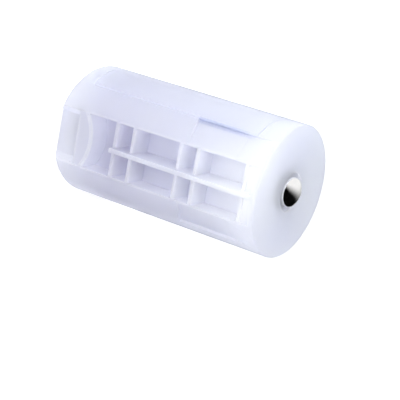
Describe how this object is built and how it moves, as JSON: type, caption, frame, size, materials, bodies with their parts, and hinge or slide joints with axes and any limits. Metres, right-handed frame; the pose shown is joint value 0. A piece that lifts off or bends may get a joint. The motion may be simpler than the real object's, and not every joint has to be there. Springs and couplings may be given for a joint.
{
  "type": "cylindrical cell holder",
  "caption": "Translucent moulded cylinder that carries a smaller cell, with ribbed side windows, a hinged flap, a domed nipple contact and a flat end contact.",
  "frame": {"origin": "centre of the negative end face, which the part stands on", "axes": "+Z along the axis towards the nipple; the door faces -Y; the ribbed windows face +X and -X; the door's hinge is at its -X edge"},
  "size_m": [0.0322, 0.0322, 0.0612],
  "materials": {
    "shell_plastic": "frosted translucent polypropylene",
    "door_plastic": "frosted translucent polypropylene",
    "nipple_metal": "bright nickel plate",
    "plate_metal": "nickel-plated sheet",
    "disc_metal": "nickel-plated sheet",
    "rivet_metal": "bright nickel plate",
    "leaf_metal": "nickel-plated spring sheet"
  },
  "bodies": {
    "shell": {"body": "shell_plastic", "nipple_rivet": "nipple_metal", "positive_plate": "plate_metal", "negative_disc": "disc_metal", "negative_rivet": "rivet_metal", "negative_leaf": "leaf_metal"},
    "flap": {"door": "door_plastic"}
  },
  "joints": [
    {"name": "door_hinge", "type": "hinge", "parent": "shell", "child": "flap", "pos_m": [-0.00891, -0.01182, 0.02945], "axis": [0, 0, 1], "range_deg": [-90, 0]}
  ]
}
